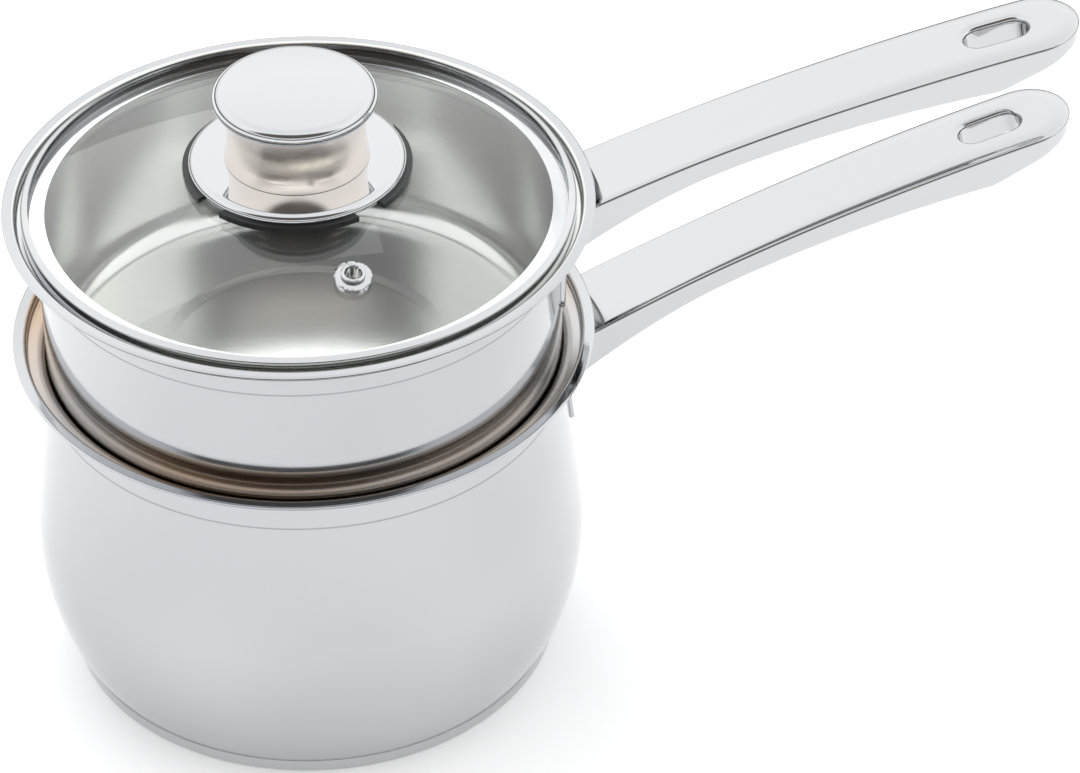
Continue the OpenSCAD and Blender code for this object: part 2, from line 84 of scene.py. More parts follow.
class RimSizes(bpy.types.PropertyGroup):
    """The pressed rim that both pans share"""
    wall_r: length("Wall radius", 80 * MM, "Outer radius of both pans' walls at the rim")
    rim_r: length("Rim radius", highest("pan_shell").x, "Outer radius of the pouring rim")
    sheet_t: length("Sheet", 0.7 * MM, "Thickness of the pressed sheet")
    lip_w: length("Lip width", 4.1 * MM, "Width of the flat pouring lip")
    recess_h: length("Recess", 3.6 * MM, "Depth of the recess that the lid sits in")
    flare_r: length("Flare radius", 4 * MM, "Radius of the flare above the wall")
    edge_r: length("Edge radius", 1.4 * MM, "Radius of the rim's turned edge")
    bend_r: length("Bend radius", 1 * MM, "Radius of the rim's small bends")


class PanSizes(bpy.types.PropertyGroup):
    """The two pans' bodies"""
    belly_r: length("Belly radius", 86.8 * MM, "Largest radius of the lower pan")
    belly_z: length("Belly height", 41 * MM, "Height of the belly's widest ring")
    belly_curve_r: length("Belly curve", 78 * MM, "Radius of the curve below the belly")
    shoulder_curve_r: length("Shoulder curve", 100 * MM, "Radius of the curve above the belly")
    seam_z: length("Seam height", 4.6 * MM, "Height of the capsule base's seam")
    foot_r: length("Foot radius", 3.5 * MM, "Radius between the belly and the flat floor")
    corner_r: length("Corner radius", 9.5 * MM, "Outer radius of the upper pan's bottom corner")
    disc_r: length("Disc radius", 44 * MM, "Radius of the disc pressed in the upper pan's floor")
    disc_h: length("Disc height", 0.8 * MM, "Height of that disc")


class HandleSizes(bpy.types.PropertyGroup):
    """The pressed channel of both hollow handles"""
    root_w: length("Half width at the root", 14.8 * MM, "Half the channel's width at the wall")
    waist_w: length("Half width at the waist", 14.1 * MM, "Half its width where it is slimmest")
    end_w: length("Half width at the end", 14.6 * MM, "Half its width at the hanging hole")
    root_depth: length("Depth at the root", 14.6 * MM, "Height of the side walls at the root")
    waist_depth: length("Depth at the waist", 7.5 * MM, "Height of the side walls at the waist")
    end_depth: length("Depth at the end", 12.2 * MM, "Height of the side walls at the hole")
    tip_depth: length("Depth at the tip", 4.4 * MM, "Height of the side walls at the tip")
    curve_r: length("Top curve", 710 * MM, "Radius of the top's long curve")
    nose_l: length("Nose", 15 * MM, "Length of the rounded nose")
    sheet_t: length("Sheet", 1.2 * MM, "Thickness of the channel's sheet")
    root_edge_w: length("Edge width at the root", 1.8 * MM, "Width of the rounded upper edge")
    root_edge_h: length("Edge height at the root", 1.4 * MM, "Height of that edge")
    end_edge_w: length("Edge width at the end", 6 * MM, "Width of the rolled-off edge at the hole")
    end_edge_h: length("Edge height at the end", 2 * MM, "Height of that edge")
    hole_l: length("Hole length", 20 * MM, "Length of the hanging hole")
    hole_w: length("Hole width", 10 * MM, "Width of the hanging hole")
    hole_roll_r: length("Hole edge", 2 * MM, "Radius of the hole's rolled edge")
    hole_from_tip: length("Hole from tip", 26 * MM, "Distance of the hole's middle from the tip")
    upper_slope: FloatProperty(name="Upper slope", default=0.391,
                               description="Rise of the upper handle at its root")
    upper_drop: length("Upper drop", 8.2 * MM, "Depth of the upper handle's root below its rim")
    upper_reach: length("Upper reach", 243 * MM, "Distance of the upper tip from the pans' axis")
    upper_turn: FloatProperty(name="Upper turn", description="Bearing of the upper handle",
                              default=radians(-4), subtype="ANGLE")
    lower_slope: FloatProperty(name="Lower slope", default=0.431,
                               description="Rise of the lower handle at its root")
    lower_drop: length("Lower drop", 12.4 * MM, "Depth of the lower handle's root below its rim")
    lower_reach: length("Lower reach", 249 * MM, "Distance of the lower tip from the pans' axis")
    bracket_gap: length("Root off the wall", 1.12 * MM, "Room for the welded bracket at the root")


class LidSizes(bpy.types.PropertyGroup):
    """Glass, band and knob, as heights over the rim and radii from its axis"""
    band_r: length("Band radius", highest("lid_band").x, "Outer radius of the lid's steel band")
    band_t: length("Band sheet", 0.5 * MM, "Thickness of the band")
    band_w: length("Band width on top", 2.2 * MM, "Width of the band's upper leg")
    band_low_w: length("Band width below", 7.6 * MM, "Width of the leg seen through the glass")
    band_gap: length("Band gap", 0.2 * MM, "Gap between glass and band")
    dome_r: length("Dome radius", 268 * MM, "Radius of the glass's dome")
    glass_t: length("Glass", 3.2 * MM, "Thickness of the glass")
    cap_r: length("Cap radius", 24.7 * MM, "Radius of the knob's cap")
    cap_roll_r: length("Cap roll", 3.1 * MM, "Radius of the cap's rolled edge")
    cap_crown_h: length("Cap crown", 1 * MM, "Height of the cap's crown over its roll")
    neck_h: length("Neck height", 17.6 * MM, "Height of the knob's neck")
    neck_r: length("Neck radius", 22 * MM, "Radius of the neck's ends")
    waist_r: length("Waist radius", 20.9 * MM, "Radius of the neck's waist")
    plate_r: length("Plate radius", 33.1 * MM, "Radius of the knob's base plate")
    plate_skirt_h: length("Skirt", 2.8 * MM, "Depth of the base plate's skirt")
    knob_t: length("Knob sheet", 0.8 * MM, "Thickness of the knob's sheet")
    screw_hole_r: length("Screw hole", 3.3 * MM, "Radius of the hole for the screw in the plate")
    glass_hole_r: length("Glass hole", 4 * MM, "Radius of the hole in the middle of the glass")


class Studio(bpy.types.PropertyGroup):
    """Camera and light"""
    pitch: FloatProperty(name="Pitch", description="Camera's angle below level",
                         default=radians(37.68), subtype="ANGLE")
    bearing: FloatProperty(name="Bearing", description="Camera's heading from +X",
                           default=radians(74.5), subtype="ANGLE")
    lens: FloatProperty(name="Lens", description="Focal length on a 36 mm sensor, in mm",
                        default=145.2)
    rim_depth: length("Depth of the rim", 1320.6 * MM, "Distance along the view to the upper rim")
    rim_left: length("Rim to the left", 73.06 * MM, "Rim's centre left of the view's middle")
    rim_above: length("Rim above", 57.23 * MM, "Rim's centre above the view's middle")
    floor_colour: colour("Floor", "#f7f7f7", "Pale floor")


def linear(hex_colour):
    """Turns an sRGB hex colour to linear RGBA."""
    channels = [int(hex_colour[i:i + 2], 16) / 255 for i in (1, 3, 5)]
    return (*(c / 12.92 if c <= 0.04045 else ((c + 0.055) / 1.055) ** 2.4 for c in channels), 1)


def add_node(tree, kind, settings=None, **links):
    """Adds a node, sets its properties and input values, and links sockets to its inputs.
    An input's name is written with underscores, or in[N] for its number."""
    node = tree.nodes.new(kind)
    for key, value in (settings or {}).items():
        if isinstance(key, int) or key in node.inputs:
            node.inputs[key].default_value = value
        else:
            setattr(node, key, value)
    for key, socket in links.items():
        numbered = key.startswith("in") and key[2:].isdigit()
        name = int(key[2:]) if numbered else key.replace("_", " ")
        tree.links.new(socket, node.inputs[name])
    return node


def per(mm):
    """The texture scale whose features are this many millimetres apart."""
    return 1 / (mm * MM)


def new_material(name):
    """A material with its nodes and its shader, which is still the plain one."""
    material = bpy.data.materials.new(name)
    material.use_nodes = True
    tree = material.node_tree
    shader = next(n for n in tree.nodes if n.type == "BSDF_PRINCIPLED")
    return material, tree, shader


# Finishes

def satin_steel(name, line_z=None, base="#bbbdc0", rough=0.10):
    """Stainless sheet, polished while the pan spins: fine rings round the axis that stretch
    reflections up and down, on a tone that drifts slightly. A thin line at line_z shows where
    the mop stopped. Real rings are finer, and are drawn 0.35 mm apart so that they show."""
    grain, spun_mm, streak_mm, cloud_mm = 0.035, 0.35, 83.3, 111
    line_w, line_soft_w = 0.12 * MM, 0.4 * MM
    material, tree, shader = new_material(name)
    place = add_node(tree, "ShaderNodeTexCoord").outputs["Object"]
    rings = add_node(tree, "ShaderNodeMapping",
                     {"Scale": (per(streak_mm), per(streak_mm), per(spun_mm))}, Vector=place)
    noise = add_node(tree, "ShaderNodeTexNoise", {"Scale": 1.0, "Detail": 3.0, "Roughness": 0.6},
                     Vector=rings.outputs["Vector"])
    level = add_node(tree, "ShaderNodeMapRange",
                     {"From Min": 0.3, "From Max": 0.7,
                      "To Min": rough - grain, "To Max": rough + grain},
                     Value=noise.outputs["Fac"])
    bump = add_node(tree, "ShaderNodeBump", {"Strength": 0.02, "Distance": 0.05 * MM},
                    Height=noise.outputs["Fac"])
    cloud = add_node(tree, "ShaderNodeTexNoise", {"Scale": per(cloud_mm), "Detail": 1.0},
                     Vector=place)
    drift = add_node(tree, "ShaderNodeMapRange", {"From Min": 0.35, "From Max": 0.65},
                     Value=cloud.outputs["Fac"])
    tone = add_node(tree, "ShaderNodeMix",
                    {"data_type": "RGBA", 6: linear(base), 7: linear("#c6c8ca")},
                    in0=drift.outputs["Result"])
    colour_out = tone.outputs[2]
    if line_z is not None:
        height = add_node(tree, "ShaderNodeSeparateXYZ", Vector=place).outputs["Z"]
        off = add_node(tree, "ShaderNodeMath", {"operation": "SUBTRACT", 1: line_z}, in0=height)
        size = add_node(tree, "ShaderNodeMath", {"operation": "ABSOLUTE"}, in0=off.outputs[0])
        mark = add_node(tree, "ShaderNodeMapRange",
                        {"From Min": line_w, "From Max": line_soft_w}, Value=size.outputs[0])
        line = add_node(tree, "ShaderNodeMix", {"data_type": "RGBA", 6: linear("#9a9c9f")},
                        in0=mark.outputs["Result"], in7=colour_out)
        colour_out = line.outputs[2]
    tree.links.new(colour_out, shader.inputs["Base Color"])
    tree.links.new(level.outputs["Result"], shader.inputs["Roughness"])
    tree.links.new(bump.outputs["Normal"], shader.inputs["Normal"])
    shader.inputs["Metallic"].default_value = 1
    return material


def mirror_steel(name, base="#c9cacc", rough=0.045):
    """Stainless, mirror buffed: a clear mirror with a very faint waviness from the wheel."""
    wave_mm = 11.1
    material, tree, shader = new_material(name)
    place = add_node(tree, "ShaderNodeTexCoord").outputs["Object"]
    noise = add_node(tree, "ShaderNodeTexNoise", {"Scale": per(wave_mm), "Detail": 2.0},
                     Vector=place)
    level = add_node(tree, "ShaderNodeMapRange",
                     {"From Min": 0.3, "From Max": 0.7,
                      "To Min": rough * 0.7, "To Max": rough * 1.4},
                     Value=noise.outputs["Fac"])
    bump = add_node(tree, "ShaderNodeBump", {"Strength": 0.02, "Distance": 0.2 * MM},
                    Height=noise.outputs["Fac"])
    tree.links.new(level.outputs["Result"], shader.inputs["Roughness"])
    tree.links.new(bump.outputs["Normal"], shader.inputs["Normal"])
    shader.inputs["Base Color"].default_value = linear(base)
    shader.inputs["Metallic"].default_value = 1
    return material


def moulded_black(name):
    """Phenolic resin, moulded: black, with a low sheen and a fine orange peel. The real peel is
    finer, and is drawn about 1 mm apart so that it shows."""
    peel_mm = 1.11
    material, tree, shader = new_material(name)
    place = add_node(tree, "ShaderNodeTexCoord").outputs["Object"]
    noise = add_node(tree, "ShaderNodeTexNoise", {"Scale": per(peel_mm), "Detail": 2.0},
                     Vector=place)
    bump = add_node(tree, "ShaderNodeBump", {"Strength": 0.1, "Distance": 0.05 * MM},
                    Height=noise.outputs["Fac"])
    tree.links.new(bump.outputs["Normal"], shader.inputs["Normal"])
    shader.inputs["Base Color"].default_value = linear("#1a1a1c")
    shader.inputs["Roughness"].default_value = 0.32
    return material


def tempered_glass(name):
    """Soda-lime glass, tempered: clear and smooth, faintly green where it is thick."""
    material, _, shader = new_material(name)
    shader.inputs["Base Color"].default_value = linear("#fdfefd")
    shader.inputs["Roughness"].default_value = 0
    shader.inputs["IOR"].default_value = 1.5
    shader.inputs["Transmission Weight"].default_value = 1
    return material


def raw_aluminium(name):
    """Cast aluminium disc, left as it comes: matte and light, with a coarse cast grain."""
    grain_mm = 1.67
    material, tree, shader = new_material(name)
    place = add_node(tree, "ShaderNodeTexCoord").outputs["Object"]
    noise = add_node(tree, "ShaderNodeTexNoise", {"Scale": per(grain_mm), "Detail": 3.0},
                     Vector=place)
    bump = add_node(tree, "ShaderNodeBump", {"Strength": 0.2, "Distance": 0.1 * MM},
                    Height=noise.outputs["Fac"])
    tree.links.new(bump.outputs["Normal"], shader.inputs["Normal"])
    shader.inputs["Base Color"].default_value = linear("#c4c6c8")
    shader.inputs["Metallic"].default_value = 1
    shader.inputs["Roughness"].default_value = 0.45
    return material


def gasket_silicone(name):
    """Silicone washer, moulded: dark grey, with a soft sheen and a slight texture."""
    texture_mm = 0.833
    material, tree, shader = new_material(name)
    place = add_node(tree, "ShaderNodeTexCoord").outputs["Object"]
    noise = add_node(tree, "ShaderNodeTexNoise", {"Scale": per(texture_mm)}, Vector=place)
    bump = add_node(tree, "ShaderNodeBump", {"Strength": 0.15, "Distance": 0.05 * MM},
                    Height=noise.outputs["Fac"])
    tree.links.new(bump.outputs["Normal"], shader.inputs["Normal"])
    shader.inputs["Base Color"].default_value = linear("#3a3a3c")
    shader.inputs["Roughness"].default_value = 0.6
    return material


def painted_board(name, tone):
    """Board, painted matt: plain and pale. It gives off a little light of its own, which
    takes the grey out of the background as a lit table does."""
    material, _, shader = new_material(name)
    shader.inputs["Base Color"].default_value = linear(tone)
    shader.inputs["Emission Color"].default_value = linear(tone)
    shader.inputs["Roughness"].default_value = 0.9
    shader.inputs["Emission Strength"].default_value = 0.24
    return material


finishes = {}


def make_finishes():
    """Makes each finish under the short name that the pieces ask for. The upper pan's inside is
    paler than its wall, which paints light into it, and blurs what it mirrors. The lower pan's is
    a darker brown, which paints the shade between the two pans. Hands have dulled the handles a
    little, and the knob's neck has a pale cream base, which paints its warm, light reflections."""
    upper_z, lower_z = highest("insert_shell").z, highest("pan_shell").z
    finishes["upper"] = satin_steel("stainless, satin spun, upper pan", upper_z - 14 * MM)
    finishes["lower"] = satin_steel("stainless, satin spun, lower pan", lower_z - 15.4 * MM)
    # Painted light: the upper pan's inside gets a paler base than its wall, which brightens it as
    # more light would.
    finishes["inner"] = satin_steel("stainless, satin inside", upper_z - 9 * MM,
                                    base="#e6e6e1", rough=0.18)
    # Painted shade: a darker brown base on the lower pan's inside paints the shade between the two
    # pans.
    finishes["deep"] = satin_steel("stainless, satin inside, painted brown shade",
                                   base="#c6b09a", rough=0.26)
    finishes["satin"] = satin_steel("stainless, satin bracket")
    finishes["mirror"] = mirror_steel("stainless, mirror buffed")
    finishes["grip"] = mirror_steel("stainless, mirror buffed, hand-worn",
                                    base="#c6c7c8", rough=0.09)
    # Painted light: a pale cream base on the knob's neck paints its warm, light reflections and
    # lifts its shade.
    finishes["warm"] = mirror_steel("stainless, mirror buffed, painted warm light",
                                    base="#f4ebe3", rough=0.16)
    finishes["black"] = moulded_black("phenolic, moulded black")
    finishes["glass"] = tempered_glass("glass, tempered")
    finishes["core"] = raw_aluminium("aluminium, cast")
    finishes["gasket"] = gasket_silicone("silicone, moulded")


# Modelling

def arc(cx, cz, r, start, end, steps):
    """Points of an arc about (cx, cz), with its angles in degrees."""
    angles = [radians(start + (end - start) * i / steps) for i in range(steps + 1)]
    return [(cx + r * cos(a), cz + r * sin(a)) for a in angles]


def distinct(path):
    """A path without the points where two arcs meet twice."""
    kept = [path[0]]
    for point in path[1:]:
        if hypot(point[0] - kept[-1][0], point[1] - kept[-1][1]) > 0.002 * MM:
            kept.append(point)
    return kept


def shifted(path, d):
    """A path moved sideways by d, to its right as it runs. It is level on the axis."""
    out = []
    for i, (x, z) in enumerate(path):
        before = path[max(i - 1, 0)]
        after = path[min(i + 1, len(path) - 1)]
        tx, tz = (1, 0) if x == 0 else (after[0] - before[0], after[1] - before[1])
        size = hypot(tx, tz)
        out.append((x + d * tz / size, z - d * tx / size))
    return out


def sheet(path, t):
    """The closed outline of a sheet of thickness t along a path."""
    path = distinct(path)
    return shifted(path, t / 2) + shifted(path, -t / 2)[::-1]


def supported(outline, near=0.35 * MM):
    """An outline with a point close to each end of its long straight lines, which keeps
    the smooth shading of the bends off the flats."""
    out = []
    for i, a in enumerate(outline):
        out.append(a)
        if i + 1 == len(outline):
            break
        b = outline[i + 1]
        span = hypot(b[0] - a[0], b[1] - a[1])
        if span > 5 * near:
            for share in (near / span, 1 - near / span):
                out.append((a[0] + (b[0] - a[0]) * share, a[1] + (b[1] - a[1]) * share))
    return out


def edit(obj):
    """Opens one piece alone in edit mode, by its points."""
    bpy.ops.object.mode_set(mode="OBJECT")
    bpy.ops.object.select_all(action="DESELECT")
    bpy.context.view_layer.objects.active = obj
    obj.select_set(True)
    bpy.ops.object.mode_set(mode="EDIT")
    bpy.ops.mesh.select_mode(type="VERT")


def smooth(piece):
    """Shades a piece smoothly, with its sharp edges kept."""
    bpy.ops.object.select_all(action="DESELECT")
    bpy.context.view_layer.objects.active = piece
    piece.select_set(True)
    bpy.ops.object.shade_smooth_by_angle(angle=SMOOTH_ANGLE)


def turned(name, outline, steps, closed=True):
    """A piece turned on the pans' axis: one point drawn out along its outline, then spun.
    Closed joins the outline's last point to its first."""
    bpy.ops.object.select_all(action="DESELECT")
    start = Vector((outline[0][0], 0, outline[0][1]))
    bpy.ops.mesh.primitive_plane_add(size=1 * MM, location=start)
    piece = bpy.context.active_object
    piece.name = piece.data.name = name
    bpy.ops.object.transform_apply(location=True)
    edit(piece)
    bpy.ops.mesh.select_all(action="SELECT")
    bpy.ops.mesh.merge(type="CENTER")
    for (x0, z0), (x1, z1) in zip(outline, outline[1:]):
        bpy.ops.mesh.extrude_region_move(TRANSFORM_OT_translate={"value": (x1 - x0, 0, z1 - z0)})
    if closed and outline[0][0] > 0:
        bpy.ops.mesh.select_all(action="DESELECT")
        bpy.ops.object.mode_set(mode="OBJECT")
        for index in (0, len(piece.data.vertices) - 1):
            piece.data.vertices[index].select = True
        bpy.ops.object.mode_set(mode="EDIT")
        bpy.ops.mesh.edge_face_add()
    bpy.ops.mesh.select_all(action="SELECT")
    bpy.ops.mesh.spin(steps=steps, angle=2 * pi, center=(0, 0, 0), axis=(0, 0, 1))
    bpy.ops.mesh.select_all(action="SELECT")
    bpy.ops.mesh.remove_doubles(threshold=MERGE)
    bpy.ops.mesh.normals_make_consistent(inside=False)
    bpy.ops.object.mode_set(mode="OBJECT")
    smooth(piece)
    return piece


def laid(name, rows):
    """A skin laid over rows of points: a grid whose corners are moved to their places."""
    bpy.ops.object.select_all(action="DESELECT")
    bpy.ops.mesh.primitive_grid_add(x_subdivisions=len(rows[0]) - 1,
                                    y_subdivisions=len(rows) - 1)
    piece = bpy.context.active_object
    piece.name = piece.data.name = name
    points = [point for row in rows for point in row]
    if len(piece.data.vertices) != len(points):
        raise RuntimeError("the grid doesn't match the rows of " + name)
    for vertex, point in zip(piece.data.vertices, points):
        vertex.co = point
    return piece


def sewn(pieces):
    """Joins skins along their common edges into the first one, facing outwards."""
    bpy.ops.object.select_all(action="DESELECT")
    for piece in pieces:
        piece.select_set(True)
    bpy.context.view_layer.objects.active = pieces[0]
    bpy.ops.object.join()
    edit(pieces[0])
    bpy.ops.mesh.select_all(action="SELECT")
    bpy.ops.mesh.remove_doubles(threshold=SEAM_MERGE)
    bpy.ops.mesh.normals_make_consistent(inside=False)
    bpy.ops.object.mode_set(mode="OBJECT")
    return pieces[0]


def modified(piece, kind, **settings):
    """Adds a modifier with its settings and applies it."""
    modifier = piece.modifiers.new(kind.lower(), kind)
    for key, value in settings.items():
        setattr(modifier, key, value)
    bpy.context.view_layer.objects.active = piece
    bpy.ops.object.modifier_apply(modifier=modifier.name)


def lined(piece, finish, inside):
    """Gives the faces that inside(place, normal) picks their own finish."""
    piece.data.materials.append(finishes[finish])
    for face in piece.data.polygons:
        if inside(face.center, face.normal):
            face.material_index = len(piece.data.materials) - 1


def faces_in(place, normal):
    """True on the side of a pan that faces its axis or its lid, below the lip."""
    radius = hypot(place.x, place.y)
    to_axis = -(place.x * normal.x + place.y * normal.y) / radius
    return to_axis > 0.2 or (normal.z > 0.5 and radius < INSIDE_R)


def dress(piece, finish, slot_name, body, *nodes):
    """Gives a piece its finish and ties it to its body and to the nodes that it stands for."""
    piece.data.materials.clear()
    piece.data.materials.append(finishes[finish])
    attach(piece, body)
    if nodes:
        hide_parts(*nodes)
    return piece


def finish_node(node, finish):
    """Gives a CAD node its finish."""
    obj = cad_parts[node]
    obj.data.materials.clear()
    obj.data.materials.append(finishes[finish])


def smooth_copy(node, finish, slot_name, body):
    """Stands a merged, smoothly shaded copy in for a small turned CAD node."""
    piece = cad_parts[node].copy()
    piece.data = piece.data.copy()
    piece.name = piece.data.name = node + "_smooth"
    bpy.context.scene.collection.objects.link(piece)
    edit(piece)
    bpy.ops.mesh.select_all(action="SELECT")
    bpy.ops.mesh.remove_doubles(threshold=MERGE)
    bpy.ops.object.mode_set(mode="OBJECT")
    smooth(piece)
    return dress(piece, finish, slot_name, body, node)


# Shapes

def rim_path(rim, z):
    """The shared rim, from the top of a wall to its turned edge, for a rim plane at z."""
    half = rim.sheet_t / 2
    lip_z = z - half
    ledge_z = z - rim.recess_h - half
    step_x = rim.rim_r - rim.lip_w + half
    flare_x = rim.wall_r - half + rim.flare_r
    droop = 35
    edge_x = rim.rim_r - (rim.edge_r + half) * sin(radians(droop))
    return (arc(flare_x, ledge_z - rim.flare_r, rim.flare_r, 180, 90, 18)
            + arc(step_x - rim.bend_r, ledge_z + rim.bend_r, rim.bend_r, -90, 0, 8)
            + arc(step_x + rim.bend_r, lip_z - rim.bend_r, rim.bend_r, 180, 90, 8)
            + arc(edge_x, lip_z - rim.edge_r, rim.edge_r, 90, 90 - droop, 6))


def pan_path(rim, pan, rim_z):
    """The lower pan, from its floor's middle to its rim."""
    half = rim.sheet_t / 2
    neck_z = rim_z - rim.recess_h - half - rim.flare_r
    foot_a = asin((pan.belly_z - pan.seam_z) / pan.belly_curve_r)
    seam_r = pan.belly_r - pan.belly_curve_r * (1 - cos(foot_a))
    foot_x = seam_r - pan.foot_r * cos(foot_a)
    foot_z = pan.seam_z + pan.foot_r * sin(foot_a)
    shoulder_x = pan.belly_r - pan.shoulder_curve_r
    across, up = rim.wall_r - shoulder_x, neck_z - pan.belly_z
    slope_a = atan2(up, across) - acos(pan.shoulder_curve_r / hypot(across, up))
    low, high = -degrees(foot_a), degrees(slope_a)
    belly_x = pan.belly_r - pan.belly_curve_r
    return ([(0, foot_z - pan.foot_r + half)]
            + arc(foot_x, foot_z, pan.foot_r - half, -90, low, 12)
            + arc(belly_x, pan.belly_z, pan.belly_curve_r - half, low, 0, 28)
            + arc(shoulder_x, pan.belly_z, pan.shoulder_curve_r - half, 0, high, 8)
            + rim_path(rim, rim_z))


def insert_path(rim, pan, low_z, rim_z):
    """The upper pan, from its floor's middle to its rim."""
    half = rim.sheet_t / 2
    floor_z = low_z + half
    ramp = 3 * pan.disc_h
    corner_x = rim.wall_r - pan.corner_r
    return ([(0, floor_z + pan.disc_h), (pan.disc_r - ramp, floor_z + pan.disc_h),
             (pan.disc_r, floor_z + pan.disc_h / 2), (pan.disc_r + ramp, floor_z)]
            + arc(corner_x, low_z + pan.corner_r, pan.corner_r - half, -90, 0, 16)
            + rim_path(rim, rim_z))


class BuildLowerPan(bpy.types.Operator):
    """Presses the lower pan and finishes its capsule base"""
    bl_idname = "cookware.lower_pan"
    bl_label = "Lower pan"

    def execute(self, context):
        rim = context.scene.cookware_rim
        pan = context.scene.cookware_pan
        path = pan_path(rim, pan, highest("pan_shell").z)
        shell = turned("lower_pan", supported(sheet(path, rim.sheet_t)), PAN_STEPS, closed=False)
        dress(shell, "lower", "satin_steel", "pan", "pan_shell")
        # The lower pan's inside takes the darker brown base that paints the shade between the
        # pans.
        lined(shell, "deep", faces_in)
        finish_node("pan_base_core", "core")
        finish_node("pan_base_cap", "mirror")
        finish_node("pan_bracket", "satin")
        return {"FINISHED"}


class BuildUpperPan(bpy.types.Operator):
    """Presses the upper pan"""
    bl_idname = "cookware.upper_pan"
    bl_label = "Upper pan"

    def execute(self, context):
        rim = context.scene.cookware_rim
        pan = context.scene.cookware_pan
        path = insert_path(rim, pan, lowest("insert_shell").z, highest("insert_shell").z)
        shell = turned("upper_pan", supported(sheet(path, rim.sheet_t)), PAN_STEPS, closed=False)
        dress(shell, "upper", "satin_steel", "insert", "insert_shell")
        # The upper pan's inside takes the paler base that paints light into it.
        lined(shell, "inner", faces_in)
        finish_node("insert_bracket", "satin")
        return {"FINISHED"}


def ease(start, end, share):
    """A value that glides from start to end as share goes from 0 to 1."""
    share = min(max(share, 0), 1)
    return start + (end - start) * (1 - cos(pi * share)) / 2


def radius_at(path, z):
    """Where a pan's wall stands at height z. Its floor isn't looked at."""
    floor_r = 40 * MM
    for (x0, z0), (x1, z1) in zip(path, path[1:]):
        if z0 <= z <= z1 and z1 > z0 and x0 > floor_r:
            return x0 + (x1 - x0) * (z - z0) / (z1 - z0)
    raise ValueError("the wall doesn't reach that height")


